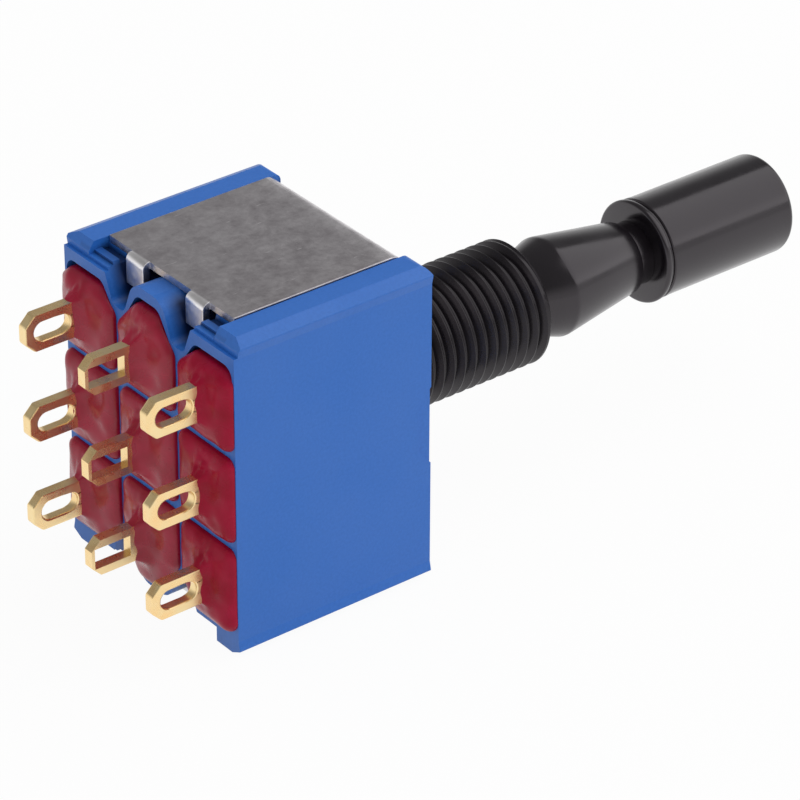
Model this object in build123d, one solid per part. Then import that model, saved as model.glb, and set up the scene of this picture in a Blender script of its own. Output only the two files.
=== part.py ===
from build123d import *
import math
import os

# Miniature three-pole toggle switch with a locking lever and solder lugs, in millimetres.
# +X runs along the lever towards its knob. +Z runs across the three stacked poles. +Y is one of the two ways
# that the lever is thrown. The origin is on the bushing's axis, at the face that seats behind a panel.

# ---- layout of the three poles and of each pole's three lugs ----
pole_pitch = 4.83
lug_pitch = 4.75
poles = (-1, 0, 1)
lug_columns = (-1, 0, 1)

# ---- frame: one strip of sheet steel, bent into a U over the case ----
frame_thickness = 0.38
front_lap_y = 0.4
front_lap_z = 0.2
frame_bend_radius = 0.6
strap_length = 9.12
tab_width = 1.35
tab_drop = 1.55
tab_bend_radius = 0.34

# ---- bushing ----
flange_thickness = 0.5
flange_radius = 4.4
thread_radius = 3.175
bushing_length = 10.0
bushing_end_chamfer = 0.28
tail_radius = 2.6
tail_stake_length = 0.35
tail_stake_radius = 2.95
mouth_radius = 2.68
seat_neck_radius = 1.5
key_radius = 0.5
key_reach = 0.4

# ---- case: one moulding, open at the front for the mechanism, with nine wells at the back ----
side_room = 1.9
end_room = 3.15
rim_width = 1.85
rim_rise = 0.3
rim_bevel_width = 0.6
rim_bevel_drop = 0.3
bead_proud = 0.09
bead_band = 0.5
cheek_reach = 0.68
cheek_top_radius = 0.35
cheek_bottom_radius = 0.3
side_wall = 1.35
end_wall = 0.98
cavity_depth = 7.45
base_thickness = 0.8
well_depth = 2.2
divider_thickness = 0.6
divider_shift = 0.075
side_wall_at_mouth = 0.25
well_wall = 0.5
well_corner_radius = 0.35
barrier_height = 1.75
pocket_depth = 1.88
pocket_floor_half_width = 0.45
pocket_slope = 0.39
pocket_corner_radius = 0.4
pocket_reach = 0.7
ledge_steps = ((0.0, 0.32), (0.42, 0.14), (0.8, 0.3), (1.12, 0.46))
rim_end_slope = 0.3
rim_end_foot = 0.14
arch_wall = 0.55
arch_radius = 1.0
arch_inner_radius = 0.6
notch_depth = 0.7
notch_height = 4.1
notch_floor_height = 2.4
notch_recess = 0.1

# ---- solder lugs and contacts ----
lug_thickness = 0.55
lug_width = 1.88
lug_tip_width = 0.88
lug_tip_length = 0.5
lug_reach = 3.67
round_hole_length = 2.0
round_hole_width = 1.0
round_hole_from_tip = 1.5
square_hole_length = 1.98
square_hole_width = 1.07
square_hole_from_tip = 1.17
tang_width = 1.4
contact_rise = 0.4
contact_width = 2.2
contact_overlap = 1.25
fulcrum_rise = 0.75

# ---- epoxy that seals the wells ----
epoxy_edge_recess = 0.1
epoxy_headroom = 0.3
mound_corner_radius = 0.35
mound_sections = ((0.0, 0.8), (0.4, 0.4), (1.15, 0.12))

# ---- rocking contacts ----
rocker_width = 2.8
rocker_overhang = 0.15
rocker_thickness = 0.3
rocker_saddle_half_width = 0.85
rocker_saddle_drop = 0.15
rocker_stop_rise = 0.15
rocker_dwell_half_width = 0.5
rocker_stop_half_width = 1.7
rocker_stop_back = 0.5

# ---- lever ----
pivot_height = 4.5
ball_radius = 1.9
leg_radius = 0.8
leg_neck_radius = 0.55
leg_length = 7.1
leg_neck_length = 1.8
stem_radius = 1.15
stem_gap = 0.25
rod_radius = 1.0
rod_tip_radius = 0.7
rod_tip_length = 0.85
retainer_radius = 1.66
retainer_thickness = 0.8
spring_room = 5.3

# ---- locking sleeve and knob ----
sleeve_start = 9.5
sleeve_nose_radius = 1.4
sleeve_nose_length = 0.85
sleeve_nose_flare = 0.2
sleeve_throat_radius = 2.36
sleeve_throat_x = 10.95
collar_radius = 2.54
collar_x = 12.2
neck_radius = 1.85
neck_end_x = 16.8
sleeve_end_x = 18.9
knob_grip = 1.2
knob_end_gap = 0.2
knob_radius = 2.58
knob_bead_radius = 2.65
knob_bead_length = 0.75
knob_bead_step = 0.1
knob_bead_chamfer = 0.13
knob_end_radius = 0.32
knob_end_wall = 0.85

# ---- carriage, plungers and springs ----
carriage_width = 3.5
carriage_front_gap = 0.6
carriage_socket_reach = 0.95
carriage_end_gap = 0.15
carriage_socket_wall = 0.45
carriage_to_rocker = 0.7
plunger_radius = 0.75
plunger_bore_radius = 0.5
plunger_length = 1.65
plunger_floor = 0.35
plunger_tip_rounding = 0.41
plunger_to_rocker = 0.05
spring_wire_radius = 0.07
spring_turns = 7
sleeve_spring_wire_radius = 0.16
sleeve_spring_turns = 6

# ---- clearances ----
running_clearance = 0.05
seat_clearance = 0.05
spring_clearance = 0.03
bend_clearance = 0.1

# ---- how far a cut runs past the face that it opens ----
past = 1.0

# ---- places along X that follow from the sizes above ----
land_x = -(flange_thickness + frame_thickness)
cheek_x = land_x + cheek_reach
floor_x = land_x - cavity_depth
well_floor_x = floor_x - base_thickness
rear_x = well_floor_x - well_depth
strap_rear_x = land_x - strap_length
lug_tip_x = rear_x - lug_reach
rocker_pivot_x = floor_x + fulcrum_rise
rocker_underside_x = rocker_pivot_x + lug_thickness / 2 + running_clearance
rocker_top_x = rocker_underside_x + rocker_thickness
leg_end_x = pivot_height - leg_length
socket_floor_x = leg_end_x - leg_radius - seat_clearance
carriage_front_x = land_x - carriage_front_gap
carriage_rear_x = rocker_top_x + carriage_to_rocker
plunger_hole_end_x = socket_floor_x - carriage_socket_wall
plunger_tip_x = rocker_top_x + plunger_to_rocker
retainer_x = sleeve_end_x + spring_room
knob_start_x = sleeve_end_x - knob_grip
knob_end_x = retainer_x + rod_tip_length + knob_end_gap + knob_end_wall

# ---- heights and widths that follow ----
deck_height = pole_pitch + end_room
rim_top = deck_height + rim_rise
strap_top = deck_height + frame_thickness
pocket_floor_height = deck_height - pocket_depth
half_width = lug_pitch + side_room
strap_half_width = half_width - rim_width
cavity_half_width = half_width - side_wall
cavity_half_height = deck_height - end_wall
front_half_width = cavity_half_width + front_lap_y
front_half_height = cavity_half_height + front_lap_z
pocket_y = lug_pitch / 2 - divider_shift
bar_z = pole_pitch / 2
rocker_reach = lug_pitch + rocker_overhang
bore_radius = ball_radius + running_clearance
sleeve_bore_radius = rod_radius + running_clearance
socket_half_width = leg_radius + running_clearance
plunger_hole_radius = plunger_radius + running_clearance


def block(x0, x1, y0, y1, z0, z1):
    """A box between two corners."""
    centre = Pos((x0 + x1) / 2, (y0 + y1) / 2, (z0 + z1) / 2)
    return centre * Box(x1 - x0, y1 - y0, z1 - z0)


def face_of(points):
    return make_face(Polyline(*points, close=True))


def along_x(face, x0, x1):
    """Extrude a face drawn in (Y, Z) from x0 to x1."""
    return extrude(Plane.YZ.offset(x0) * face, amount=x1 - x0)


def along_y(face, y0, y1):
    """Extrude a face drawn in (X, Z) from y0 to y1."""
    return extrude(Plane.XZ.offset(-y1) * face, amount=y1 - y0)


def along_z(face, z0, z1):
    """Extrude a face drawn in (X, Y) from z0 to z1."""
    return extrude(Plane.XY.offset(z0) * face, amount=z1 - z0)


def turned(points):
    """Revolve a closed outline of (x, radius) points about the X axis."""
    return revolve(face_of(points), axis=Axis.X)


def x_cylinder(radius, x0, x1, y=0.0, z=0.0):
    return Pos((x0 + x1) / 2, y, z) * Rot(0, 90, 0) * Cylinder(radius, x1 - x0)


def mirrored(points, flip_first, flip_second):
    """Points with the sign of either coordinate turned round."""
    return [(flip_first * a, flip_second * b) for a, b in points]


def pocket_side(height):
    """Half width of a pocket between two columns of wells, at a height above the axis."""
    return pocket_floor_half_width + pocket_slope * (height - pocket_floor_height)


def well_points(column, pole):
    """Outline of one well in (Y, Z). Wells in the top and bottom rows lean away from the pockets."""
    if column == 0:
        far = pocket_y - divider_thickness / 2
        near = -far
    else:
        near = pocket_y + divider_thickness / 2
        far = half_width - side_wall_at_mouth
    if pole == 0:
        top = bar_z - divider_thickness / 2
        return [(near, -top), (far, -top), (far, top), (near, top)]
    low = bar_z + divider_thickness / 2
    knee = pocket_floor_height - well_wall
    if column == 0:
        top = deck_height - arch_wall
        shoulder = pocket_y - pocket_side(top) - well_wall
        outline = [(near, low), (far, low), (far, knee), (shoulder, top), (-shoulder, top), (near, knee)]
    else:
        top = deck_height - ledge_steps[-1][1] - arch_wall
        shoulder = pocket_y + pocket_side(top) + well_wall
        outline = [(near, low), (far, low), (far, top), (shoulder, top), (near, knee)]
    return mirrored(outline, 1, pole)


def is_corner(vertex, points):
    """Whether a vertex of a face is still one of the points that the face was drawn with."""
    return any(math.dist((vertex.X, vertex.Y), point) < 1e-6 for point in points)


def well_face(column, pole, headroom=0.0):
    """A well's rounded outline. Headroom lowers its outer edge in the top and bottom rows."""
    points = well_points(column, pole)
    if pole and headroom:
        top = max(abs(z) for _, z in points)
        points = [(y, z if abs(z) < top else pole * (top - headroom)) for y, z in points]
    if column < 0:
        points = mirrored(points, -1, 1)
    face = face_of(points)
    if not pole:
        return fillet(face.vertices(), well_corner_radius)
    corners = face.vertices().sort_by(lambda corner: abs(corner.Y))
    face = fillet(corners[-2:], arch_inner_radius)
    inner = [corner for corner in face.vertices() if is_corner(corner, points)]
    return fillet(inner, well_corner_radius)


def case_outline():
    """The moulding's cross-section in (Y, Z): beads along the four long edges, flat sides between them."""
    side = half_width - bead_proud
    corner = [
        (half_width - rim_bevel_width, rim_top),
        (half_width, rim_top - rim_bevel_drop),
        (half_width, rim_top - rim_bevel_drop - bead_proud),
        (side, rim_top - rim_bevel_drop - bead_band),
    ]
    upper_right = corner
    lower_right = mirrored(corner, 1, -1)[::-1]
    lower_left = mirrored(corner, -1, -1)
    upper_left = mirrored(corner, -1, 1)[::-1]
    return upper_right + lower_right + lower_left + upper_left


def make_case():
    body = along_x(face_of(case_outline()), rear_x, cheek_x)
    front = body.edges().filter_by(Axis.Y).group_by(Axis.X)[-1]
    body = fillet(front.sort_by(Axis.Z)[-1:], cheek_top_radius)
    front = body.edges().filter_by(Axis.Y).group_by(Axis.X)[-1]
    body = fillet(front.sort_by(Axis.Z)[:1], cheek_bottom_radius)

    strap_half = strap_half_width + seat_clearance
    front_half = front_half_width + seat_clearance
    front_top = front_half_height + seat_clearance
    seat_top = strap_top + past
    body -= block(land_x, cheek_x + past, -strap_half, strap_half, -seat_top, seat_top)
    body -= block(land_x, cheek_x + past, -front_half, front_half, -front_top, front_top)
    relief = frame_bend_radius - frame_thickness + bend_clearance
    for side in (-1, 1):
        deck = block(strap_rear_x, cheek_x, -strap_half, strap_half, deck_height, seat_top)
        body -= deck if side > 0 else mirror(deck, about=Plane.XY)
        corner = face_of([
            (land_x, side * (deck_height - relief)),
            (land_x + relief, side * (deck_height + relief)),
            (land_x - relief, side * deck_height),
        ])
        body -= along_y(corner, -strap_half, strap_half)

    wide = cavity_half_width
    tall = cavity_half_height
    half = divider_thickness / 2
    body -= block(floor_x, land_x + past, -wide, wide, -tall, tall)
    for wall in (-bar_z, bar_z):
        body += block(floor_x, floor_x + barrier_height, -wide, wide, wall - half, wall + half)

    for column in lug_columns:
        for pole in poles:
            body -= along_x(well_face(column, pole), rear_x - past, well_floor_x)
            y = column * lug_pitch
            z = pole * pole_pitch
            t = lug_thickness / 2
            w = tang_width / 2
            body -= block(well_floor_x, floor_x, y - t, y + t, z - w, z + w)

    pockets = along_x(pockets_face(), rear_x - past, strap_rear_x + pocket_reach)
    for level in (-1, 1):
        body -= pockets if level > 0 else mirror(pockets, about=Plane.XY)
        for side in (-1, 1):
            body -= ledge(side, level)

    for side in (-1, 1):
        outer = side * (half_width + past)
        inner = side * (half_width - bead_proud - notch_recess)
        notch = face_of([
            (cheek_x + past, notch_height / 2),
            (cheek_x, notch_height / 2),
            (cheek_x - notch_depth, notch_floor_height / 2),
            (cheek_x - notch_depth, -notch_floor_height / 2),
            (cheek_x, -notch_height / 2),
            (cheek_x + past, -notch_height / 2),
        ])
        body -= along_y(notch, *sorted((outer, inner)))
    return body


def pockets_face():
    """The two pockets where the frame's tabs bend in, and the space above the middle column's arch."""
    top = rim_top + past
    low = pocket_floor_half_width
    half = [
        (pocket_y - pocket_side(deck_height), deck_height),
        (pocket_y - low, pocket_floor_height),
        (pocket_y + low, pocket_floor_height),
        (pocket_y + pocket_side(top), top),
    ]
    face = face_of(half + mirrored(half, -1, 1)[::-1])
    face = fillet(face.vertices().group_by(Axis.Y)[1], arch_radius)
    return fillet(face.vertices().group_by(Axis.Y)[0], pocket_corner_radius)


def ledge(side, level):
    """What is cut off an outer column behind the strap: fine steps down to the well's mouth.

    At the top the last step runs on across the rim, which slopes down to it.
    """
    height = rim_top + past
    outline = [(strap_rear_x, height)]
    for run, drop in ledge_steps:
        if run:
            outline.append((strap_rear_x - run, height))
        height = deck_height - drop
        outline.append((strap_rear_x - run, height))
    outline += [(rear_x - past, height), (rear_x - past, rim_top + past)]
    rim_inner = strap_half_width + seat_clearance
    near = side * pocket_y
    cut = along_y(face_of(mirrored(outline, 1, level)), *sorted((near, side * rim_inner)))

    if level < 0:
        return cut
    foot_x = strap_rear_x - ledge_steps[-1][0]
    slope = [
        (rear_x - past, height),
        (foot_x, height),
        (foot_x, deck_height - rim_end_foot),
        (foot_x + rim_end_slope, rim_top),
        (foot_x + rim_end_slope, rim_top + past),
        (rear_x - past, rim_top + past),
    ]
    outer = side * (half_width + past)
    return cut + along_y(face_of(slope), *sorted((side * rim_inner, outer)))


def make_frame():
    wide = strap_half_width
    outer = block(strap_rear_x, land_x + frame_thickness, -wide, wide, -strap_top, strap_top)
    outer = fillet(outer.edges().filter_by(Axis.Y).group_by(Axis.X)[-1], frame_bend_radius)
    wide = strap_half_width + past
    inner = block(strap_rear_x - past, land_x, -wide, wide, -deck_height, deck_height)
    inner = fillet(inner.edges().filter_by(Axis.Y).group_by(Axis.X)[-1], frame_bend_radius - frame_thickness)
    frame = outer - inner
    wide = front_half_width
    tall = front_half_height
    frame += block(land_x, land_x + frame_thickness, -wide, wide, -tall, tall)
    frame -= x_cylinder(tail_radius, land_x - past, land_x + frame_thickness + past)
    for level in (-1, 1):
        for side in (-1, 1):
            tab = block(
                strap_rear_x - frame_thickness,
                strap_rear_x,
                side * pocket_y - tab_width / 2,
                side * pocket_y + tab_width / 2,
                strap_top - tab_drop,
                strap_top,
            )
            bend = tab.edges().filter_by(Axis.Y).group_by(Axis.Z)[-1].sort_by(Axis.X)[:1]
            tab = fillet(bend, tab_bend_radius)
            frame += tab if level > 0 else mirror(tab, about=Plane.XY)
    return frame


def make_bushing():
    seat_dx = math.sqrt(bore_radius**2 - seat_neck_radius**2)
    tail_x = land_x - tail_stake_length
    body = turned([
        (tail_x, 0),
        (tail_x, tail_stake_radius),
        (land_x, tail_stake_radius),
        (land_x, tail_radius),
        (-flange_thickness, tail_radius),
        (-flange_thickness, flange_radius),
        (0, flange_radius),
        (0, thread_radius),
        (bushing_length - bushing_end_chamfer, thread_radius),
        (bushing_length, thread_radius - bushing_end_chamfer),
        (bushing_length, 0),
    ])
    body -= x_cylinder(bore_radius, tail_x - past, pivot_height)
    body -= Pos(pivot_height, 0, 0) * Sphere(bore_radius)
    neck_x = pivot_height + seat_dx
    flare = (mouth_radius - seat_neck_radius) / (bushing_length - neck_x)
    body -= turned([
        (pivot_height, 0),
        (pivot_height, seat_neck_radius),
        (neck_x, seat_neck_radius),
        (bushing_length + past, mouth_radius + flare * past),
        (bushing_length + past, 0),
    ])
    for side in (-1, 1):
        inner = bore_radius - key_reach
        outer = (bore_radius + thread_radius) / 2
        key = Cylinder(key_radius, outer - inner)
        body += Pos(pivot_height, 0, side * (inner + outer) / 2) * key
    return body


def make_lever():
    x = pivot_height
    leg_neck_x = leg_end_x + leg_neck_length
    rod_start = sleeve_start - stem_gap
    rod_end = retainer_x
    body = turned([
        (leg_end_x, 0),
        (leg_end_x, leg_neck_radius),
        (leg_neck_x, leg_neck_radius),
        (leg_neck_x + leg_radius - leg_neck_radius, leg_radius),
        (x, leg_radius),
        (x, stem_radius),
        (rod_start, stem_radius),
        (rod_start + stem_radius - rod_radius, rod_radius),
        (rod_end, rod_radius),
        (rod_end, rod_tip_radius),
        (rod_end + rod_tip_length, rod_tip_radius),
        (rod_end + rod_tip_length, 0),
    ])
    body += Pos(leg_end_x, 0, 0) * Sphere(leg_radius)
    body += Pos(x, 0, 0) * Sphere(ball_radius)
    recess_radius = key_radius + running_clearance
    floor = bore_radius - key_reach - running_clearance
    for side in (-1, 1):
        body -= Pos(x, 0, side * (floor + ball_radius / 2)) * Cylinder(recess_radius, ball_radius)
    return body


def make_retainer():
    end_x = retainer_x + retainer_thickness
    return x_cylinder(retainer_radius, retainer_x, end_x) - x_cylinder(rod_tip_radius, retainer_x, end_x)


def make_sleeve():
    nose_end = sleeve_start + sleeve_nose_length
    body = turned([
        (sleeve_start, 0),
        (sleeve_start, sleeve_nose_radius),
        (nose_end, sleeve_nose_radius + sleeve_nose_flare),
        (sleeve_throat_x, sleeve_throat_radius),
        (collar_x, collar_radius),
        (neck_end_x, neck_radius),
        (sleeve_end_x, neck_radius),
        (sleeve_end_x, 0),
    ])
    return body - x_cylinder(sleeve_bore_radius, sleeve_start - past, sleeve_end_x + past)


def make_knob():
    rear = knob_start_x
    bead_end = rear + knob_bead_length
    body = turned([
        (rear, 0),
        (rear, knob_bead_radius - knob_bead_chamfer),
        (rear + knob_bead_chamfer, knob_bead_radius),
        (bead_end, knob_bead_radius),
        (bead_end + knob_bead_step, knob_radius),
        (knob_end_x, knob_radius),
        (knob_end_x, 0),
    ])
    end = body.edges().filter_by(GeomType.CIRCLE).group_by(Axis.X)[-1]
    body = fillet(end, knob_end_radius)
    return body - x_cylinder(neck_radius, rear - past, knob_end_x - knob_end_wall)


def coil(radius, wire_radius, turns, x0, x1):
    """A compression spring along +X with its wire's centre line between x0 and x1."""
    height = x1 - x0
    path = Helix(pitch=height / turns, height=height, radius=radius)
    start = Plane(origin=path @ 0, z_dir=path % 0)
    wire = sweep(start * Circle(wire_radius), path=path)
    return Pos(x0, 0, 0) * Rot(0, 90, 0) * wire


def make_sleeve_spring():
    wire = sleeve_spring_wire_radius
    inset = wire + spring_clearance
    radius = neck_radius - wire - 2 * spring_clearance
    return coil(radius, wire, sleeve_spring_turns, sleeve_end_x + inset, retainer_x - inset)


def make_carriage():
    half = carriage_width / 2
    tall = cavity_half_height - carriage_end_gap
    body = block(carriage_rear_x, carriage_front_x, -half, half, -tall, tall)
    reach = carriage_socket_reach
    side = socket_half_width
    body -= block(socket_floor_x, carriage_front_x + past, -side, side, -reach, reach)
    for pole in poles:
        z = pole * pole_pitch
        body -= x_cylinder(plunger_hole_radius, carriage_rear_x - past, plunger_hole_end_x, z=z)
    return body


def make_plunger(pole):
    tip = plunger_tip_x
    end = tip + plunger_length
    body = x_cylinder(plunger_radius, tip, end)
    rim = body.edges().filter_by(GeomType.CIRCLE).group_by(Axis.X)[0]
    body = fillet(rim, plunger_tip_rounding)
    body -= x_cylinder(plunger_bore_radius, tip + plunger_floor, end + past)
    return Pos(0, 0, pole * pole_pitch) * body


def make_plunger_spring(pole):
    inset = spring_wire_radius + spring_clearance
    start = plunger_tip_x + plunger_floor + inset
    radius = plunger_bore_radius - spring_wire_radius - spring_clearance
    wire = coil(radius, spring_wire_radius, spring_turns, start, plunger_hole_end_x - inset)
    return Pos(0, 0, pole * pole_pitch) * wire


def make_rocker(pole):
    top = rocker_top_x
    low = rocker_underside_x
    saddle = rocker_saddle_half_width
    foot = rocker_pivot_x - rocker_saddle_drop
    stop = rocker_stop_half_width
    right = [
        (top, rocker_dwell_half_width),
        (top + rocker_stop_rise, stop),
        (top, stop + rocker_stop_back),
        (top, rocker_reach),
        (low, rocker_reach),
        (low, saddle),
        (foot, saddle),
    ]
    left = mirrored(right, 1, -1)[::-1]
    half = rocker_width / 2
    body = along_z(face_of(right + left), -half, half)
    groove = lug_thickness / 2 + running_clearance
    body -= Pos(rocker_pivot_x, 0, 0) * Cylinder(groove, rocker_width + past)
    body -= block(foot - past, rocker_pivot_x, -groove, groove, -rocker_width, rocker_width)
    return Pos(0, 0, pole * pole_pitch) * body


def lug_blade(hole):
    """A lug's flat blade in (X, Z), from its tip to the floor of its well."""
    w = lug_width / 2
    tip = lug_tip_width / 2
    outline = face_of([
        (lug_tip_x, -tip),
        (lug_tip_x + lug_tip_length, -w),
        (well_floor_x, -w),
        (well_floor_x, w),
        (lug_tip_x + lug_tip_length, w),
        (lug_tip_x, tip),
    ])
    return along_y(outline - hole, -lug_thickness / 2, lug_thickness / 2)


def make_common_lug(pole):
    centre = lug_tip_x + square_hole_from_tip
    blade = lug_blade(Pos(centre, 0) * Rectangle(square_hole_length, square_hole_width))
    t = lug_thickness / 2
    w = tang_width / 2
    tang = block(well_floor_x, rocker_pivot_x, -t, t, -w, w)
    fulcrum = Pos(rocker_pivot_x, 0, 0) * Cylinder(t, tang_width)
    return Pos(0, 0, pole * pole_pitch) * (blade + tang + fulcrum)


def make_throw_lug(column, pole):
    centre = lug_tip_x + round_hole_from_tip
    blade = lug_blade(Pos(centre, 0) * SlotOverall(round_hole_length, round_hole_width))
    t = lug_thickness / 2
    w = tang_width / 2
    tang = block(well_floor_x, floor_x + contact_rise, -t, t, -w, w)
    inner = -column * contact_overlap
    half = contact_width / 2
    contact = block(floor_x, floor_x + contact_rise, *sorted((inner, column * t)), -half, half)
    return Pos(0, column * lug_pitch, pole * pole_pitch) * (blade + tang + contact)


def make_epoxy(column, pole, lug):
    """The fill of one well, with a mound that climbs the lug. The mound's sections are (height, spread)."""
    edge_x = rear_x + epoxy_edge_recess
    outline = well_face(column, pole, epoxy_headroom)
    sections = []
    for height, spread in mound_sections:
        section = Rectangle(lug_thickness + 2 * spread, lug_width + 2 * spread)
        corner = min(mound_corner_radius, spread)
        section = Pos(column * lug_pitch, pole * pole_pitch) * fillet(section.vertices(), corner)
        sections.append(Plane.YZ.offset(edge_x - height) * section)
    mound = loft(sections, ruled=True) & along_x(outline, edge_x - past - mound_sections[-1][0], edge_x)
    return along_x(outline, edge_x, well_floor_x) + mound - lug


parts = {
    "case": make_case(),
    "frame": make_frame(),
    "bushing": make_bushing(),
    "lever": make_lever(),
    "lever_retainer": make_retainer(),
    "lock_sleeve": make_sleeve(),
    "knob": make_knob(),
    "sleeve_spring": make_sleeve_spring(),
    "carriage": make_carriage(),
}
column_names = {-1: "a", 0: "common", 1: "b"}
for pole in poles:
    number = pole + 2
    parts[f"plunger_{number}"] = make_plunger(pole)
    parts[f"plunger_spring_{number}"] = make_plunger_spring(pole)
    parts[f"rocker_{number}"] = make_rocker(pole)
    for column in lug_columns:
        lug = make_throw_lug(column, pole) if column else make_common_lug(pole)
        parts[f"lug_{column_names[column]}_{number}"] = lug
        parts[f"epoxy_{column_names[column]}_{number}"] = make_epoxy(column, pole, lug)

os.makedirs("parts", exist_ok=True)
for name, shape in parts.items():
    export_step(shape, f"parts/{name}.step")
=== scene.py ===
import math

import bmesh
import bpy
from mathutils import Matrix, Vector, geometry, noise


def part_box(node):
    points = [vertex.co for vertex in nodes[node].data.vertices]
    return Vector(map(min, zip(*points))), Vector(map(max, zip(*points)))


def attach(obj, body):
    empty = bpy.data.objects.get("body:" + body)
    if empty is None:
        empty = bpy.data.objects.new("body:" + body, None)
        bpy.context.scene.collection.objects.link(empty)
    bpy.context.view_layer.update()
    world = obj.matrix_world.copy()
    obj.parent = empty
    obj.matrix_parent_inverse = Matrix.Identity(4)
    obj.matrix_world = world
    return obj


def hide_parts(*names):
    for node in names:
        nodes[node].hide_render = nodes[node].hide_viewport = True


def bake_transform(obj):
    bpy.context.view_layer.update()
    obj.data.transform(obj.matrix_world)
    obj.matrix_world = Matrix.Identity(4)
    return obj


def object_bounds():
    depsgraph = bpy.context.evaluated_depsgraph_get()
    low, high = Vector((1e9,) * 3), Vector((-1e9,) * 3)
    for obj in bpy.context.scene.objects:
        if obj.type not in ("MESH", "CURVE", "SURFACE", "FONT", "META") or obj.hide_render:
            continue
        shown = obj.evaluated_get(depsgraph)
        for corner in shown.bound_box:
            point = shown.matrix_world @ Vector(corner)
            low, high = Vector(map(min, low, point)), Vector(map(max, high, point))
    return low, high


# Looks of a miniature toggle switch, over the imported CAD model. +X runs along the lever towards its knob,
# +Z across the stacked poles and +Y along the throw. Blender works in metres: MM is one millimetre.
MM = 0.001
MICROMETRE = 0.001 * MM

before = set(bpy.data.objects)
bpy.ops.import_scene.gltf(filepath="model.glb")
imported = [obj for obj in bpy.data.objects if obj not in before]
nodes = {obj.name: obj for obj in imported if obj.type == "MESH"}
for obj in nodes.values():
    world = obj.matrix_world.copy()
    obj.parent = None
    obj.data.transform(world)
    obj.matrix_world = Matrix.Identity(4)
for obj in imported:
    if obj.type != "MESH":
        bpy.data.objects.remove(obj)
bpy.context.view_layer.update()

COLUMNS = ("a", "common", "b")
POLES = (1, 2, 3)


# ---------------------------------------------------------------- materials

# which sockets of a Mix node take the two values or the two colours that it mixes, and which gives the colour
MIX_VALUES = (2, 3)
MIX_COLOURS = (6, 7)
MIXED_COLOUR = 2


class Finish:
    """A procedural material: a Principled shader and the nodes that vary it over the surface."""

    def __init__(self, name, **constants):
        self.material = bpy.data.materials.new(name)
        self.material.use_nodes = True
        self.tree = self.material.node_tree
        self.shader = self.tree.nodes["Principled BSDF"]
        for key, value in constants.items():
            self.shader.inputs[key.replace("_", " ")].default_value = value
        self.place = self.tree.nodes.new("ShaderNodeTexCoord").outputs["Object"]

    def link(self, source, target):
        self.tree.links.new(source, target)

    def stretched(self, along=(1, 1, 1)):
        """Object coordinates, scaled along each axis: a small number draws a pattern out along that axis."""
        mapping = self.tree.nodes.new("ShaderNodeMapping")
        mapping.inputs["Scale"].default_value = along
        self.link(self.place, mapping.inputs["Vector"])
        return mapping.outputs["Vector"]

    def noise(self, size, along=(1, 1, 1), detail=3, roughness=0.55, distortion=0.0):
        """Noise from 0 to 1 with lumps of about the given size in millimetres."""
        node = self.tree.nodes.new("ShaderNodeTexNoise")
        node.inputs["Scale"].default_value = 1 / (size * MM)
        node.inputs["Detail"].default_value = detail
        node.inputs["Roughness"].default_value = roughness
        node.inputs["Distortion"].default_value = distortion
        self.link(self.stretched(along), node.inputs["Vector"])
        return node.outputs["Fac"]

    def spread(self, source, low, high, from_low=0.3, from_high=0.7):
        """A value between low and high as the source goes between its own two bounds."""
        node = self.tree.nodes.new("ShaderNodeMapRange")
        node.inputs["From Min"].default_value = from_low
        node.inputs["From Max"].default_value = from_high
        node.inputs["To Min"].default_value = low
        node.inputs["To Max"].default_value = high
        self.link(source, node.inputs["Value"])
        return node.outputs["Result"]

    def mixed(self, factor, first, second):
        """A colour between two colours or sockets."""
        node = self.tree.nodes.new("ShaderNodeMix")
        node.data_type = "RGBA"
        self.link(factor, node.inputs["Factor"])
        for index, colour in zip(MIX_COLOURS, (first, second)):
            if isinstance(colour, bpy.types.NodeSocket):
                self.link(colour, node.inputs[index])
            else:
                node.inputs[index].default_value = (*colour, 1)
        return node.outputs[MIXED_COLOUR]

    def component(self, vector, axis):
        """The X, Y or Z of a vector."""
        parts = self.tree.nodes.new("ShaderNodeSeparateXYZ")
        self.link(vector, parts.inputs[0])
        return parts.outputs[axis]

    def between(self, axis, zero, one):
        """0 at one place on an axis of the object and 1 at another, in millimetres, and level beyond them."""
        return self.spread(self.component(self.place, axis), 0, 1, zero * MM, one * MM)

    def from_middle(self, axis, zero, one):
        """0 at one distance from the object's middle plane across an axis and 1 at another, as in between."""
        node = self.tree.nodes.new("ShaderNodeMath")
        node.operation = "ABSOLUTE"
        self.link(self.component(self.place, axis), node.inputs[0])
        return self.spread(node.outputs[0], 0, 1, zero * MM, one * MM)

    def combined(self, operation, first, second):
        """Two values joined by one operation of a Math node."""
        node = self.tree.nodes.new("ShaderNodeMath")
        node.operation = operation
        self.link(first, node.inputs[0])
        self.link(second, node.inputs[1])
        return node.outputs[0]

    def product(self, first, second):
        return self.combined("MULTIPLY", first, second)

    def facing_rear(self):
        """1 on faces that look towards -X, 0 on those that do not."""
        normal = self.tree.nodes.new("ShaderNodeNewGeometry").outputs["Normal"]
        return self.spread(self.component(normal, "X"), 1, 0, -0.75, -0.35)

    def colour(self, source):
        self.link(source, self.shader.inputs["Base Color"])

    def roughness(self, source):
        self.link(source, self.shader.inputs["Roughness"])

    def bump(self, *layers):
        """Relief from (height source, depth in micrometres) layers, one on top of another."""
        normal = None
        for source, depth in layers:
            node = self.tree.nodes.new("ShaderNodeBump")
            node.inputs["Strength"].default_value = 1
            node.inputs["Distance"].default_value = depth * MICROMETRE
            self.link(source, node.inputs["Height"])
            if normal:
                self.link(normal, node.inputs["Normal"])
            normal = node.outputs["Normal"]
        self.link(normal, self.shader.inputs["Normal"])


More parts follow.
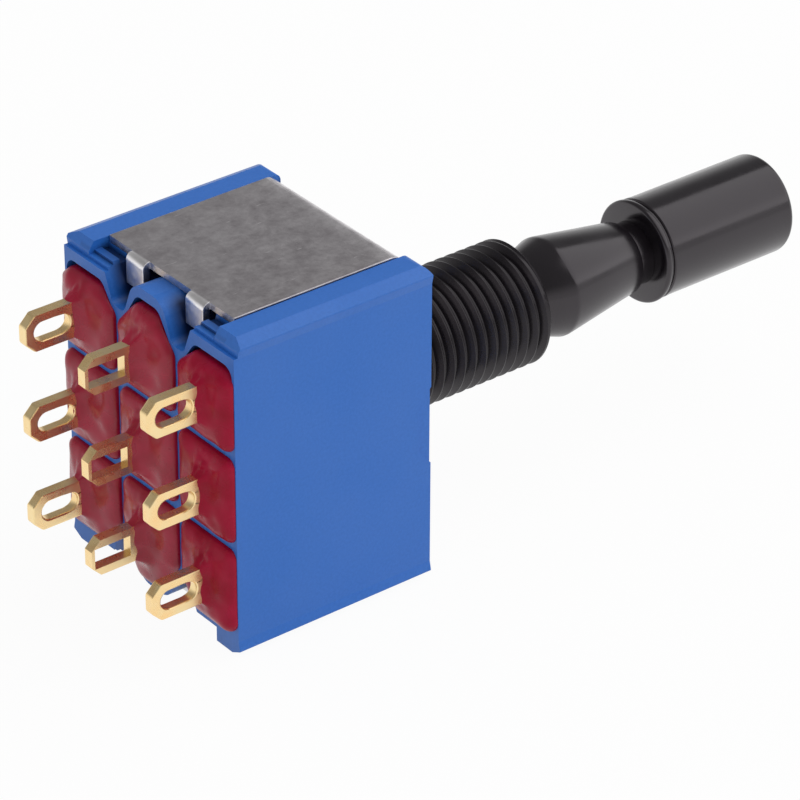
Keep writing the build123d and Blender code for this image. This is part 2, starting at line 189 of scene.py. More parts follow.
def recess_painted_shade(finish):
    """Painted shade: 1 in the recesses that the case leaves under the rear ends of the strap, 0 on the rest
    of the case.
    """
    recess_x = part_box("case")[0].x / MM + 0.2
    strap_low, strap_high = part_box("frame")
    side = strap_high.y / MM
    top = strap_high.z / MM
    floor = finish.between("X", recess_x, strap_low.x / MM)
    end_wall = finish.product(finish.facing_rear(), finish.between("X", recess_x, recess_x + 0.1))
    inside = finish.combined("MAXIMUM", floor, end_wall)
    within = finish.from_middle("Y", side - 0.05, side - 0.15)
    below_strap = finish.from_middle("Z", top - 0.3, top - 0.75)
    above_wells = finish.from_middle("Z", top - 3.3, top - 2.5)
    return finish.product(finish.product(inside, within), finish.product(below_strap, above_wells))


def blue_moulding():
    """Moulded blue plastic, with painted shade that darkens its recesses."""
    finish = Finish("blue_moulding", Specular_IOR_Level=0.5)
    clouds = finish.noise(3.5, detail=2)
    speck = finish.noise(0.16, detail=4, roughness=0.7)
    moulded = finish.mixed(
        finish.spread(speck, 0, 1, 0.35, 0.65),
        (0.018, 0.142, 0.54),
        (0.024, 0.160, 0.59),
    )
    # the dark navy mixed in here is painted shade in the recesses under the strap
    finish.colour(finish.mixed(recess_painted_shade(finish), moulded, (0.004, 0.016, 0.075)))
    finish.roughness(finish.spread(clouds, 0.36, 0.48))
    finish.bump((finish.noise(0.9, detail=2), 4), (speck, 0.9))
    return finish.material


def tin_steel():
    """Dull tinned steel, scraped along its length, lighter towards its front, with a painted highlight where
    its rear is bent.
    """
    finish = Finish("tin_steel", Metallic=1.0)
    blotch = finish.noise(0.9, detail=5, roughness=0.75)
    scratch = finish.noise(0.16, along=(0.14, 1, 1), detail=2)
    dull = finish.mixed(
        finish.spread(blotch, 0, 1, 0.32, 0.68),
        (0.43, 0.40, 0.42),
        (0.66, 0.63, 0.65),
    )
    scraped = finish.mixed(finish.spread(scratch, 0, 1, 0.69, 0.76), dull, (0.86, 0.83, 0.85))
    strap_low, strap_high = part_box("frame")
    rear_x = strap_low.x / MM
    front_x = strap_high.x / MM
    # painted highlight: the bends at the strap's rear ends are coloured near white
    bend_painted_highlight = finish.between("X", rear_x + 0.42, rear_x + 0.3)
    # the strap is made lighter towards its front
    front_share = finish.between("X", front_x - 1.3, front_x - 0.5)
    lighter_front = finish.mixed(finish.product(front_share, blotch), scraped, (1.0, 0.97, 0.99))
    finish.colour(finish.mixed(bend_painted_highlight, lighter_front, (0.96, 0.94, 0.95)))
    finish.roughness(finish.spread(finish.noise(0.3, detail=4), 0.28, 0.42))
    finish.bump((finish.noise(0.45, detail=4), 4), (scratch, 2))
    return finish.material


def black_anodised(name, gloss, roughness_low, roughness_high):
    """Turned metal, anodised black, with faint lathe lines round the X axis."""
    finish = Finish(name, Specular_IOR_Level=gloss, Specular_Tint=(1.0, 0.93, 0.985, 1))
    lathe = finish.noise(0.05, along=(1, 0.02, 0.02), detail=2)
    patch = finish.noise(1.8, detail=3)
    finish.colour(finish.mixed(
        finish.spread(patch, 0, 1),
        (0.0065, 0.0050, 0.0068),
        (0.0095, 0.0078, 0.0100),
    ))
    finish.roughness(finish.spread(patch, roughness_low, roughness_high))
    finish.bump((lathe, 0.5), (finish.noise(0.25, detail=3), 0.8))
    return finish.material


def gold_plate(name, roughness_low, roughness_high):
    """Pale gold over metal that was drawn along the X axis."""
    finish = Finish(name, Metallic=0.9)
    blotch = finish.noise(0.9, detail=3)
    drawn = finish.noise(0.1, along=(0.12, 1, 1), detail=2)
    finish.colour(finish.mixed(
        finish.spread(blotch, 0, 1),
        (1.0, 0.69, 0.33),
        (1.0, 0.80, 0.44),
    ))
    finish.roughness(finish.spread(blotch, roughness_low, roughness_high))
    finish.bump((finish.noise(0.7, detail=2), 6), (drawn, 0.7))
    return finish.material


def cast_epoxy():
    """Poured red resin, with less gloss in the a column, set by its tones in the photograph."""
    finish = Finish("cast_epoxy")
    column_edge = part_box("epoxy_a_2")[1].y / MM
    shine = finish.spread(finish.between("Y", column_edge, column_edge + 0.1), 0.16, 0.45, 0, 1)
    finish.link(shine, finish.shader.inputs["Specular IOR Level"])
    depth = finish.noise(1.3, detail=3)
    finish.colour(finish.mixed(
        finish.spread(depth, 0, 1),
        (0.31, 0.003, 0.022),
        (0.42, 0.006, 0.042),
    ))
    finish.roughness(finish.spread(finish.noise(1.0, detail=2), 0.22, 0.38))
    finish.bump((finish.noise(0.8, detail=2, distortion=0.3), 9), (finish.noise(0.12, detail=2), 0.8))
    return finish.material


def drawn_wire():
    """Bright spring steel with fine streaks."""
    finish = Finish("drawn_wire", Metallic=1.0)
    streak = finish.noise(0.1, detail=3)
    finish.colour(finish.mixed(finish.spread(streak, 0, 1), (0.50, 0.50, 0.50), (0.62, 0.61, 0.60)))
    finish.roughness(finish.spread(streak, 0.25, 0.4))
    finish.bump((streak, 1.5))
    return finish.material


def nylon(name, dark, light, roughness_low, roughness_high):
    """Natural nylon, a little cloudy, between two colours."""
    finish = Finish(name, Specular_IOR_Level=0.45)
    cloud = finish.noise(1.1, detail=3)
    finish.colour(finish.mixed(finish.spread(cloud, 0, 1), dark, light))
    finish.roughness(finish.spread(cloud, roughness_low, roughness_high))
    finish.bump((finish.noise(0.2, detail=3), 3))
    return finish.material


blue = blue_moulding()
steel = tin_steel()
thread_black = black_anodised("thread_black", gloss=0.42, roughness_low=0.22, roughness_high=0.32)
sleeve_black = black_anodised("sleeve_black", gloss=0.7, roughness_low=0.15, roughness_high=0.22)
lug_gold = gold_plate("lug_gold", roughness_low=0.22, roughness_high=0.34)
contact_gold = gold_plate("contact_gold", roughness_low=0.26, roughness_high=0.38)
epoxy_red = cast_epoxy()
wire = drawn_wire()
carriage_nylon = nylon("carriage_nylon", (0.68, 0.66, 0.60), (0.76, 0.74, 0.69), 0.42, 0.58)
plunger_nylon = nylon("plunger_nylon", (0.78, 0.77, 0.72), (0.86, 0.85, 0.81), 0.22, 0.34)


def paint(obj, material):
    """Give every face of an object one material."""
    if not obj.material_slots:
        obj.data.materials.append(material)
    for place in obj.material_slots:
        place.link = "OBJECT"
        place.material = material


# ---------------------------------------------------------------- edges of the CAD pieces

WELD_DISTANCE = 0.0002
EDGE_ANGLE = 28


def soften(obj, width, segments=2):
    """Join a CAD node's facets and round its edges to a width in millimetres."""
    weld = obj.modifiers.new("weld", "WELD")
    weld.merge_threshold = WELD_DISTANCE * MM
    bevel = obj.modifiers.new("bevel", "BEVEL")
    bevel.width = width * MM
    bevel.segments = segments
    bevel.limit_method = "ANGLE"
    bevel.angle_limit = math.radians(EDGE_ANGLE)
    bevel.use_clamp_overlap = True
    normals = obj.modifiers.new("normals", "WEIGHTED_NORMAL")
    normals.keep_sharp = True


# ---------------------------------------------------------------- meshes of the new pieces

AROUND = 144
SMOOTH_ANGLE = 32


def add_mesh(name, shape, material, body, replaced):
    """A new piece from a bmesh, smooth over its gentle bends, standing for CAD nodes.

    It rides on one body. Given a tuple of two bodies and their ends, as a spring is, it rides on neither and
    stays where it is made.
    """
    bmesh.ops.recalc_face_normals(shape, faces=shape.faces)
    for face in shape.faces:
        face.smooth = True
    for edge in shape.edges:
        edge.smooth = len(edge.link_faces) == 2 and edge.calc_face_angle() < math.radians(SMOOTH_ANGLE)
    mesh = bpy.data.meshes.new(name)
    shape.to_mesh(mesh)
    shape.free()
    obj = bpy.data.objects.new(name, mesh)
    bpy.context.scene.collection.objects.link(obj)
    obj.data.materials.append(material)
    if isinstance(body, tuple):
        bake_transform(obj)
    else:
        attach(obj, body)
    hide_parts(*replaced)


def ring_at(shape, x, radius):
    """A ring of points round the X axis, with its place and radius in millimetres: one point at radius 0."""
    if radius == 0:
        return [shape.verts.new((x * MM, 0, 0))]
    ring = []
    for index in range(AROUND):
        angle = 2 * math.pi * index / AROUND
        ring.append(shape.verts.new((x * MM, radius * math.cos(angle) * MM, radius * math.sin(angle) * MM)))
    return ring


def bridge(shape, first, second):
    """Faces between two rings of the same number of points, or between a ring and a single point."""
    if len(first) == 1 or len(second) == 1:
        ring, point = (first, second[0]) if len(second) == 1 else (second, first[0])
        for index in range(len(ring)):
            shape.faces.new((ring[index], ring[(index + 1) % len(ring)], point))
        return
    for index in range(len(first)):
        following = (index + 1) % len(first)
        shape.faces.new((first[index], first[following], second[following], second[index]))


def bridge_all(shape, rings):
    """Faces between each ring and the next."""
    for ring, after in zip(rings, rings[1:]):
        bridge(shape, ring, after)


# ---------------------------------------------------------------- bushing with its thread

THREAD_PITCH = 0.635
THREAD_DEPTH = 0.32
# the thread's section over one pitch: how far along it and how deep each corner lies, as shares
THREAD_CORNERS = ((0.0, 0), (0.08, 0), (0.3, 0.55), (0.47, 1), (0.61, 1), (0.78, 0.55))
# where in a pitch the section starts, and how many pitches are made before the first place, to be held there
THREAD_PHASE = 0.5
PITCHES_BEFORE = 2
# where the threaded surface starts and how far before the bushing's end it stops, after it has faded out
THREAD_START = 0.12
THREAD_END_GAP = 0.21
THREAD_FADE = 0.3
# the rest of the bushing's section
FLANGE_OVER_THREAD = 1.225
FLANGE_BACK_X = -0.5
FLANGE_BREAK = 0.08
STAKE_FRONT_X = -0.88
STAKE_RADIUS = 2.95
TAIL_RADIUS = 2.6
BALL_BORE_RADIUS = 1.95
BALL_CENTRE_X = 4.5
SEAT_NECK_X = 5.67
SEAT_NECK_RADIUS = 1.5
MOUTH_RADIUS = 2.72
MOUTH_BREAK = 0.05
MOUTH_BREAK_LENGTH = 0.06
END_CHAMFER = 0.2
SAME_POINT = 1e-5


def helix_rows(shape, start, end, radius):
    """The threaded surface, cut square at both ends, where it returns the rings of its points.

    Each row follows the helix, and a row is held at an end where it would pass it.
    """
    pitches = math.ceil((end - start) / THREAD_PITCH)
    columns = []
    for index in range(AROUND + 1):
        turn = index / AROUND
        angle = 2 * math.pi * turn
        column = []
        for pitch in range(-PITCHES_BEFORE, pitches + 1):
            for share, depth in THREAD_CORNERS:
                x = start + THREAD_PITCH * (pitch + share + turn + THREAD_PHASE)
                x = min(max(x, start), end)
                fade = min(1, (end - x) / THREAD_FADE)
                r = radius - THREAD_DEPTH * depth * fade
                point = Vector((x, r * math.cos(angle), r * math.sin(angle)))
                column.append(shape.verts.new(point * MM))
        columns.append(column)
    for first, second in zip(columns, columns[1:]):
        for low, high, far_high, far_low in zip(first, first[1:], second[1:], second):
            shape.faces.new((low, high, far_high, far_low))
    return [column[0] for column in columns[:-1]], [column[-1] for column in columns[:-1]]


def threaded_bushing():
    """The bushing: its bore and ball seat, the tail staked over the strap, the flange and the thread."""
    low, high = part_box("bushing")
    tail_x = low.x / MM
    end_x = high.x / MM
    flange = high.z / MM
    thread = flange - FLANGE_OVER_THREAD
    shape = bmesh.new()
    profile = [
        (end_x - END_CHAMFER, thread),
        (end_x, thread - END_CHAMFER),
        (end_x, MOUTH_RADIUS),
        (end_x - MOUTH_BREAK_LENGTH, MOUTH_RADIUS - MOUTH_BREAK),
        (SEAT_NECK_X, SEAT_NECK_RADIUS),
        (BALL_CENTRE_X, BALL_BORE_RADIUS),
        (tail_x, BALL_BORE_RADIUS),
        (tail_x, STAKE_RADIUS),
        (STAKE_FRONT_X, STAKE_RADIUS),
        (STAKE_FRONT_X, TAIL_RADIUS),
        (FLANGE_BACK_X, TAIL_RADIUS),
        (FLANGE_BACK_X, flange - FLANGE_BREAK),
        (FLANGE_BACK_X + FLANGE_BREAK, flange),
        (-FLANGE_BREAK, flange),
        (0.0, flange - FLANGE_BREAK),
        (0.0, thread - THREAD_DEPTH),
    ]
    rings = [ring_at(shape, x, radius) for x, radius in profile]
    first, last = helix_rows(shape, THREAD_START, end_x - THREAD_END_GAP, thread)
    bridge_all(shape, [last] + rings + [first])
    bmesh.ops.remove_doubles(shape, verts=shape.verts, dist=SAME_POINT * MM)
    bmesh.ops.dissolve_degenerate(shape, edges=shape.edges, dist=SAME_POINT * MM)
    add_mesh("threaded_bushing", shape, thread_black, "root", ["bushing"])


# ---------------------------------------------------------------- turned sleeve and knob

ROD_BORE = 1.05
NOSE_RADIUS = 1.4
NOSE_END_RADIUS = 1.6
NOSE_LENGTH = 0.85
THROAT_RADIUS = 2.15
THROAT_LENGTH = 1.5
# the collar's crest: how far from the sleeve's rear end and how far below the crest each point lies
COLLAR_CREST = ((2.5, 0.03), (2.58, 0.005), (2.66, 0), (2.78, 0.005))
NECK_BELOW_COLLAR = 0.69
# the neck's end and the relief after it: how far behind the knob's rear and how far inside the neck each
# point lies, where less than 0 is inside the knob or outside the neck
RELIEF = ((0.98, -0.012), (0.9, 0.02), (0.87, 0.06), (0.84, 0.24), (-0.3, 0.24), (-0.3, 0))
# the knob, hollow where it goes over the neck
NECK_BORE = 1.85
KNOB_BELOW_BEAD = 0.07
KNOB_WALL = 0.85
KNOB_LIP_LENGTH = 0.28
KNOB_LIP_DEPTH = 0.23
# the bead at the knob's rear and the groove in front of it: how far along and how far below the bead's crest
BEAD_AND_GROOVE = (
    (0, 0.15), (0.02, 0.08), (0.06, 0.03), (0.12, 0.005), (0.18, 0),
    (0.28, 0.01), (0.34, 0.05), (0.37, 0.15), (0.51, 0.15),
)
# where the knob's barrel starts: how far along and how far outside its radius
BARREL_START = ((0.54, -0.01), (0.58, 0.02), (0.8, 0.02), (1.05, 0))
KNOB_ROUNDING = 0.32
ROUNDING_STEPS = 8


def turned_piece(name, profile, body, replaced):
    """A solid of revolution round the X axis from (x, radius) points in millimetres."""
    shape = bmesh.new()
    rings = [ring_at(shape, x, radius) for x, radius in profile]
    bridge_all(shape, rings)
    if len(rings[-1]) > 1:
        bridge(shape, rings[-1], rings[0])
    add_mesh(name, shape, sleeve_black, body, [replaced])


def locking_sleeve():
    """The pull sleeve: a nose in the bushing, a collar, a tapered neck and a relief before the knob."""
    low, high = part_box("lock_sleeve")
    start = low.x / MM
    end = high.x / MM
    collar = high.z / MM
    neck = collar - NECK_BELOW_COLLAR
    knob_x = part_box("knob")[0].x / MM
    turned_piece("turned_sleeve", [
        (start, ROD_BORE),
        (start, NOSE_RADIUS),
        (start + NOSE_LENGTH, NOSE_END_RADIUS),
        (start + THROAT_LENGTH, THROAT_RADIUS),
        *((start + along, collar - below) for along, below in COLLAR_CREST),
        *((knob_x - behind, neck - inside) for behind, inside in RELIEF),
        (end, neck),
        (end, ROD_BORE),
    ], "sleeve", "lock_sleeve")


def capped_knob():
    """The knob: a rounded bead and a groove at its rear, and a rounded end."""
    low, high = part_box("knob")
    start = low.x / MM
    end = high.x / MM
    bead = high.z / MM
    radius = bead - KNOB_BELOW_BEAD
    corner = []
    for step in range(ROUNDING_STEPS + 1):
        angle = math.pi / 2 * step / ROUNDING_STEPS
        x = end - KNOB_ROUNDING * (1 - math.sin(angle))
        corner.append((x, radius - KNOB_ROUNDING * (1 - math.cos(angle))))
    turned_piece("capped_knob", [
        (end - KNOB_WALL, 0),
        (end - KNOB_WALL, NECK_BORE),
        (start + KNOB_LIP_LENGTH, NECK_BORE),
        (start + KNOB_LIP_LENGTH, NECK_BORE - KNOB_LIP_DEPTH),
        (start, NECK_BORE - KNOB_LIP_DEPTH),
        *((start + along, bead - below) for along, below in BEAD_AND_GROOVE),
        *((start + along, radius + outside) for along, outside in BARREL_START),
        *corner,
        (end, 0),
    ], "sleeve", "knob")


# ---------------------------------------------------------------- epoxy round each lug

# the mesh's rays round the lug, and its ripples from the lug to the rim
RAYS = 96
RIPPLES = 22
# the dome and its round shoulder
DOME_HEIGHT = 0.45
DOME_SHOULDER = 0.7
DOME_WAVE = 0.07
OVER_THE_WALL = 0.01
# the resin that climbs each lug, steeply at the lug and more gently round it
MENISCUS_HEIGHT = {"a": 0.42, "common": 0.8, "b": 0.5}
MENISCUS_REACH = 0.28
MENISCUS_WAVE = 0.16
TENT_HEIGHT = 0.15
TENT_REACH = 1.0
# the blobs above each lug
BLOB_HEIGHT = 0.22
BLOB_HALF_WIDTH = 0.9
BLOB_RISE = 0.3
# the waves and lumps in the resin, and how far apart in the noise the columns, the poles and the lumps are
WAVE_SIZE = 0.8
LUMP_SIZE = 0.3
COLUMN_SHIFT = 7.3
POLE_SHIFT = 5.1
LUMP_SHIFT = 5
# how far the resin runs over the walls' ends, and more at the bottom row's foot
CREEP = 0.12
FOOT_CREEP = 0.36
EDGE_BAND = 0.5
# how far it sinks at the edge under the arch, and how far it tucks into the lug
HOLLOW = 0.12
TUCK = 0.05
# a CAD vertex this near to a place on X lies there
ON_PLANE = 0.001
# a ray and a side of an outline that turn from each other by less than this are parallel
PARALLEL = 1e-12
# how far past the end of a side a ray may still meet it, as a share of the side
CORNER_SLACK = 1e-6


def ray_angles():
    """The angles of the rays, none of them along an axis."""
    return [2 * math.pi * (ray + 0.5) / RAYS for ray in range(RAYS)]


def section_box(node, before_x):
    """The lowest and highest (Y, Z) of a CAD node behind a place on X."""
    points = [v.co for v in nodes[node].data.vertices if v.co.x < before_x]
    low = (min(p.y for p in points), min(p.z for p in points))
    high = (max(p.y for p in points), max(p.z for p in points))
    return low, high


def outline_at(node, x):
    """The (Y, Z) corners, in millimetres, of a CAD node's outer edge at a place on X, in order round it."""
    vertices = [v.co for v in nodes[node].data.vertices if abs(v.co.x - x) < ON_PLANE * MM]
    points = [Vector((co.y, co.z)) / MM for co in vertices]
    return [tuple(points[index]) for index in geometry.convex_hull_2d(points)]


def grown(corners, margin):
    """A convex outline moved outwards at each corner by margin(z), along the corner's own normal."""
    middle = Vector((sum(c[0] for c in corners), sum(c[1] for c in corners))) / len(corners)
    result = []
    for before, corner, after in zip(corners[-1:] + corners[:-1], corners, corners[1:] + corners[:1]):
        along = (Vector(after) - Vector(before)).normalized()
        normal = Vector((along.y, -along.x))
        if normal.dot(Vector(corner) - middle) < 0:
            normal = -normal
        result.append(tuple(Vector(corner) + normal * margin(corner[1])))
    return result


def edge_distance(corners, y, z):
    """How far a point inside an outline is from its nearest side."""
    nearest = math.inf
    for first, second in zip(corners, corners[1:] + corners[:1]):
        point = Vector((y, z))
        _, share = geometry.intersect_point_line(point, Vector(first), Vector(second))
        foot = Vector(first).lerp(Vector(second), min(max(share, 0), 1))
        nearest = min(nearest, (point - foot).length)
    return nearest


def reach(corners, centre, angle):
    """How far a ray from the centre goes inside a convex outline."""
    way_y = math.cos(angle)
    way_z = math.sin(angle)
    for first, second in zip(corners, corners[1:] + corners[:1]):
        ay, az = first[0] - centre[0], first[1] - centre[1]
        by, bz = second[0] - centre[0], second[1] - centre[1]
        side_y, side_z = by - ay, bz - az
        scale = way_y * side_z - way_z * side_y
        if abs(scale) < PARALLEL:
            continue
        distance = (ay * side_z - az * side_y) / scale
        share = (ay * way_z - az * way_y) / scale
        if distance > 0 and -CORNER_SLACK <= share <= 1 + CORNER_SLACK:
            return distance
    raise ValueError(f"no side of the outline lies at angle {angle}")


class EpoxyFill:
    """The fill of one well: a dome with round shoulders, which creeps over the walls and climbs the lug.

    In the top row it stops short of the arch, and in the bottom row it runs over the outer wall's end.
    """

    def __init__(self, column, pole):
        self.column = column
        self.pole = pole
        self.node = f"epoxy_{column}_{pole}"
        self.floor_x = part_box(self.node)[1].x / MM
        self.rear_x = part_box("case")[0].x / MM
        low, high = section_box(f"lug_{column}_{pole}", self.rear_x * MM)
        self.centre = ((low[0] + high[0]) / 2 / MM, (low[1] + high[1]) / 2 / MM)
        self.half_y = (high[0] - low[0]) / 2 / MM - TUCK
        self.half_z = (high[1] - low[1]) / 2 / MM - TUCK
        self.wall = outline_at(self.node, self.floor_x * MM)
        self.top = max(z for _, z in self.wall)
        self.foot = min(z for _, z in self.wall)
        self.rim = grown(self.wall, self.margin)
        self.seed = Vector((COLUMNS.index(column) * COLUMN_SHIFT, pole * POLE_SHIFT, 0))

    def under_arch(self, z):
        """1 at the edge that stops short of the arch, 0 elsewhere."""
        return max(0, 1 - (self.top - z) / EDGE_BAND) if self.pole == POLES[-1] else 0

    def margin(self, z):
        """How far the resin runs over the wall's end at a height."""
        if self.pole == POLES[0]:
            return CREEP + FOOT_CREEP * max(0, 1 - (z - self.foot) / EDGE_BAND)
        return CREEP * (1 - min(1, 2 * self.under_arch(z)))

    def point_at(self, outline, angle, near=0.0, share=1.0):
        """The (Y, Z) on a ray from the lug, a share of the way from a near distance to an outline."""
        distance = near + (reach(outline, self.centre, angle) - near) * share
        return self.centre[0] + distance * math.cos(angle), self.centre[1] + distance * math.sin(angle)

    def climb(self, y, z, shoulder):
        """How far the surface stands behind the case there. The shoulder goes from 0 at the rim to 1."""
        beside = abs(y - self.centre[0])
        above = z - self.centre[1]
        gap = math.hypot(max(beside - self.half_y, 0), max(abs(above) - self.half_z, 0))
        wave = noise.noise(Vector((y, z, 0)) / WAVE_SIZE + self.seed)
        lumps = noise.noise(Vector((y, z, LUMP_SHIFT)) / LUMP_SIZE + self.seed)
        dome = (DOME_HEIGHT + DOME_WAVE * wave) * math.sqrt(1 - (1 - shoulder) ** 2)
        tent = TENT_HEIGHT * math.exp(-gap / TENT_REACH)
        meniscus = (MENISCUS_HEIGHT[self.column] + MENISCUS_WAVE * wave) * math.exp(-gap / MENISCUS_REACH)
        blob = max(0, 1 - beside / BLOB_HALF_WIDTH) * max(0, min(1, (above - self.half_z) / BLOB_RISE))
        hollow = HOLLOW * self.under_arch(z) * (1 - shoulder)
        on_lug = (tent + meniscus + BLOB_HEIGHT * lumps * blob) * shoulder
        return dome + on_lug + OVER_THE_WALL - hollow

    def surface_ring(self, shape, ripple):
        """One ring of the free surface: ripple 0 is at the lug and the last one at the rim."""
        share = ripple / RIPPLES
        share = share * share * (3 - 2 * share)
        ring = []
        for angle in ray_angles():
            near = min(self.half_y / abs(math.cos(angle)), self.half_z / abs(math.sin(angle)))
            y, z = self.point_at(self.rim, angle, near, share)
            shoulder = min(edge_distance(self.rim, y, z) / DOME_SHOULDER, 1) if ripple < RIPPLES else 0
            ring.append(shape.verts.new(Vector((self.rear_x - self.climb(y, z, shoulder), y, z)) * MM))
        return ring

    def wall_ring(self, shape, x, hollow):
        """One ring along the well's wall, set in by a share of the hollow under the arch."""
        ring = []
        for angle in ray_angles():
            y, z = self.point_at(self.wall, angle)
            ring.append(shape.verts.new(Vector((x + hollow * self.under_arch(z), y, z)) * MM))
        return ring

    def build(self):
        """The closed piece: its free surface, the well's wall and the well's floor."""
        shape = bmesh.new()
        rings = [self.surface_ring(shape, ripple) for ripple in range(RIPPLES + 1)]
        rings.append(self.wall_ring(shape, self.rear_x - OVER_THE_WALL, HOLLOW))
        rings.append(self.wall_ring(shape, self.floor_x, 0))
        rings.append([shape.verts.new((self.floor_x * MM, v.co.y, v.co.z)) for v in rings[0]])
        bridge_all(shape, rings + rings[:1])
        name = f"epoxy_fill_{self.column}_{self.pole}"
        add_mesh(name, shape, epoxy_red, "root", [self.node])


# ---------------------------------------------------------------- springs

COIL_STEPS = 24
WIRE_SIDES = 12
SLEEVE_COILS = 6
SLEEVE_WIRE_RADIUS = 0.16
PLUNGER_COILS = 7
PLUNGER_WIRE_RADIUS = 0.07


def compression_spring(node, coils, wire_radius, moving_body, still_body):
    """A coil in place of a CAD spring, which stays where it is made."""
    low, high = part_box(node)
    middle = (low + high) / 2
    thickness = wire_radius * MM
    radius = (high.y - low.y) / 2 - thickness
    start = low.x + thickness
    rise = (high.x - thickness - start) / (2 * math.pi * coils)
    shape = bmesh.new()
    rings = []
    for step in range(coils * COIL_STEPS + 1):
        angle = 2 * math.pi * step / COIL_STEPS
        outward = Vector((0, math.sin(angle), -math.cos(angle)))
        along = Vector((rise, radius * math.cos(angle), radius * math.sin(angle))).normalized()
        sideways = along.cross(outward)
        point = Vector((start + rise * angle, middle.y, middle.z)) + radius * outward
        ring = []
        for side in range(WIRE_SIDES):
            turn = 2 * math.pi * side / WIRE_SIDES
            offset = thickness * (math.cos(turn) * outward + math.sin(turn) * sideways)
            ring.append(shape.verts.new(point + offset))
        rings.append(ring)
    bridge_all(shape, rings)
    shape.faces.new(rings[0])
    shape.faces.new(reversed(rings[-1]))
    moving_end = Vector((low.x, middle.y, middle.z))
    still_end = Vector((high.x, middle.y, middle.z))
    bodies_and_ends = (moving_body, still_body, moving_end, still_end)
    add_mesh(f"coiled_{node}", shape, wire, bodies_and_ends, [node])


# ---------------------------------------------------------------- the object

LUG_EDGE = 0.08
CASE_EDGE = 0.05
STRAP_EDGE = 0.05

threaded_bushing()
locking_sleeve()
capped_knob()
for column in COLUMNS:
    for pole in POLES:
        EpoxyFill(column, pole).build()
        paint(nodes[f"lug_{column}_{pole}"], lug_gold)
        soften(nodes[f"lug_{column}_{pole}"], LUG_EDGE, segments=3)

paint(nodes["case"], blue)
soften(nodes["case"], CASE_EDGE)
paint(nodes["frame"], steel)
soften(nodes["frame"], STRAP_EDGE)
paint(nodes["lever"], sleeve_black)
paint(nodes["lever_retainer"], wire)
compression_spring("sleeve_spring", SLEEVE_COILS, SLEEVE_WIRE_RADIUS, "sleeve", "lever")
paint(nodes["carriage"], carriage_nylon)
for pole in POLES:
    paint(nodes[f"plunger_{pole}"], plunger_nylon)
    spring = f"plunger_spring_{pole}"
    compression_spring(spring, PLUNGER_COILS, PLUNGER_WIRE_RADIUS, f"plunger_{pole}", "carriage")
    paint(nodes[f"rocker_{pole}"], contact_gold)


# ---------------------------------------------------------------- stage, light and camera

FLOOR_HALF = 400
FLOOR_BELOW = 0.02
FLOOR_GREY = 0.86
FLOOR_WHITENESS = 0.95
# how high, as the Z of a direction, the white walls end and the ceiling starts
WALLS_END = 0.12
CEILING_START = 0.45


def background_share(tree, path):
    """1 for the rays that should see the white background, 0 for those that carry light."""
    share = path.outputs["Is Camera Ray"]
    for name in ("Is Glossy Ray", "Is Transmission Ray"):
        either = tree.nodes.new("ShaderNodeMath")
        either.operation = "MAXIMUM"
        tree.links.new(share, either.inputs[0])
        tree.links.new(path.outputs[name], either.inputs[1])
        share = either.outputs[0]
    return share


def split_rays(tree, share, carrying, seen, output):
    """Gives an output one shader for the rays that carry light and another for those that see white."""
    mix = tree.nodes.new("ShaderNodeMixShader")
    tree.links.new(share, mix.inputs["Fac"])
    tree.links.new(carrying.outputs[0], mix.inputs[1])
    tree.links.new(seen.outputs[0], mix.inputs[2])
    tree.links.new(mix.outputs[0], tree.nodes.new(output).inputs["Surface"])


def white_floor():
    """A pale matt material, which looks almost white."""
    material = bpy.data.materials.new("floor_white")
    material.use_nodes = True
    tree = material.node_tree
    tree.nodes.clear()
    paper = tree.nodes.new("ShaderNodeBsdfDiffuse")
    paper.inputs["Color"].default_value = (FLOOR_GREY, FLOOR_GREY, FLOOR_GREY, 1)
    white = tree.nodes.new("ShaderNodeEmission")
    white.inputs["Strength"].default_value = 1
    weight = tree.nodes.new("ShaderNodeMath")
    weight.operation = "MULTIPLY"
    weight.inputs[1].default_value = FLOOR_WHITENESS
    tree.links.new(background_share(tree, tree.nodes.new("ShaderNodeLightPath")), weight.inputs[0])
    split_rays(tree, weight.outputs[0], paper, white, "ShaderNodeOutputMaterial")
    return material


def add_floor():
    """A floor just under the object, to take its shadow."""
    half = FLOOR_HALF * MM
    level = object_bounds()[0].z - FLOOR_BELOW * MM
    corners = [(-half, -half, level), (half, -half, level), (half, half, level), (-half, half, level)]
    mesh = bpy.data.meshes.new("floor")
    mesh.from_pydata(corners, [], [(0, 1, 2, 3)])
    mesh.materials.append(white_floor())
    floor = bpy.data.objects.new("floor", mesh)
    bpy.context.scene.collection.objects.link(floor)


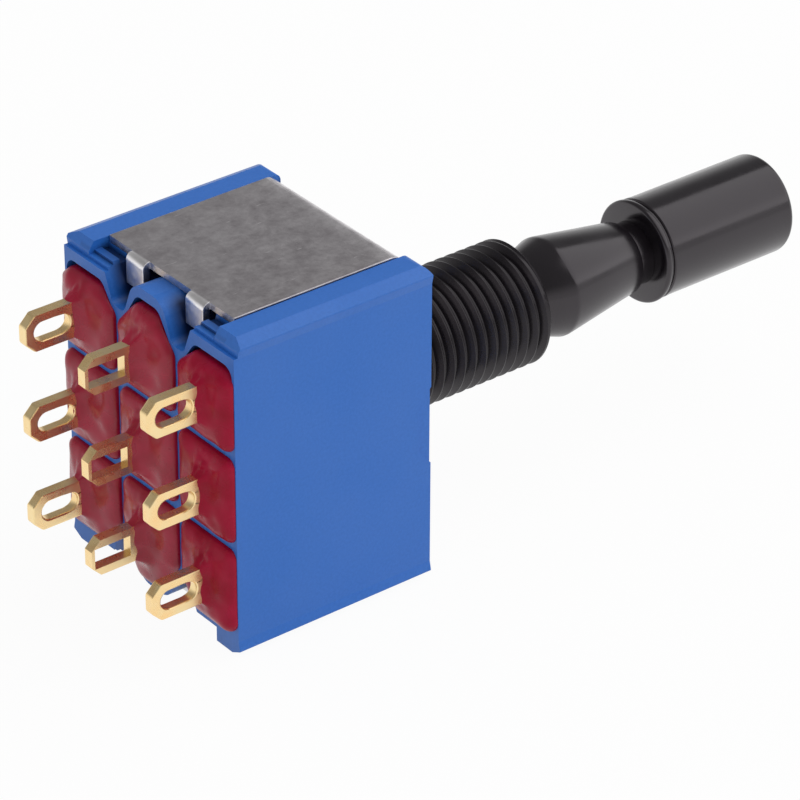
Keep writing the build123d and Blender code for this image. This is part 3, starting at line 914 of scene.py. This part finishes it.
def add_world(level, ceiling):
    """Even light from all round, and a white background. Gloss sees white walls under a dimmer ceiling."""
    world = bpy.data.worlds.new("studio")
    bpy.context.scene.world = world
    world.use_nodes = True
    tree = world.node_tree
    tree.nodes.clear()
    light = tree.nodes.new("ShaderNodeBackground")
    light.inputs["Color"].default_value = (1, 1, 1, 1)
    light.inputs["Strength"].default_value = level
    direction = tree.nodes.new("ShaderNodeSeparateXYZ")
    tree.links.new(tree.nodes.new("ShaderNodeTexCoord").outputs["Generated"], direction.inputs[0])
    walls = tree.nodes.new("ShaderNodeMapRange")
    walls.inputs["From Min"].default_value = WALLS_END
    walls.inputs["From Max"].default_value = CEILING_START
    walls.inputs["To Min"].default_value = 1
    walls.inputs["To Max"].default_value = ceiling
    tree.links.new(direction.outputs["Z"], walls.inputs["Value"])
    path = tree.nodes.new("ShaderNodeLightPath")
    plain, reflected = MIX_VALUES
    shade = tree.nodes.new("ShaderNodeMix")
    shade.inputs[plain].default_value = 1
    tree.links.new(path.outputs["Is Glossy Ray"], shade.inputs["Factor"])
    tree.links.new(walls.outputs["Result"], shade.inputs[reflected])
    seen = tree.nodes.new("ShaderNodeBackground")
    tree.links.new(shade.outputs[0], seen.inputs["Strength"])
    split_rays(tree, background_share(tree, path), light, seen, "ShaderNodeOutputWorld")


def add_softbox(name, direction, distance, size, brightness):
    """A round area light that faces the origin. Its distance and size are in millimetres."""
    data = bpy.data.lights.new(name, "AREA")
    data.shape = "DISK"
    data.size = size * MM
    area = math.pi * (size * MM / 2) ** 2
    data.energy = brightness * math.pi * area
    lamp = bpy.data.objects.new(name, data)
    bpy.context.scene.collection.objects.link(lamp)
    away = Vector(direction).normalized()
    lamp.location = away * distance * MM
    lamp.rotation_euler = away.to_track_quat("Z", "Y").to_euler()


def add_camera(target, distance, azimuth, elevation, roll, lens):
    """A camera that looks at a target, in millimetres and degrees. At azimuth 0 it looks along +Y."""
    turn, rise = math.radians(azimuth), math.radians(elevation)
    back = Vector((math.sin(turn) * math.cos(rise), -math.cos(turn) * math.cos(rise), math.sin(rise)))
    data = bpy.data.cameras.new("camera")
    data.lens = lens
    data.sensor_width = 36
    data.clip_start = 0.005
    data.clip_end = 10
    camera = bpy.data.objects.new("camera", data)
    bpy.context.scene.collection.objects.link(camera)
    camera.location = (Vector(target) + back * distance) * MM
    facing = back.to_track_quat("Z", "Y").to_matrix().to_4x4()
    tilt = facing @ Matrix.Rotation(math.radians(roll), 4, "Z")
    camera.rotation_euler = tilt.to_euler()
    bpy.context.scene.camera = camera


add_floor()
add_world(level=0.6, ceiling=0.3)
add_softbox("softbox", direction=(0.6, -0.35, 0.72), distance=300, size=460, brightness=1.05)
add_camera(
    target=(0.0254, -3.9674, 0.0),
    distance=209.15,
    azimuth=-38.259,
    elevation=31.311,
    roll=0.242,
    lens=202.5,
)
bpy.context.scene.view_settings.view_transform = "Standard"
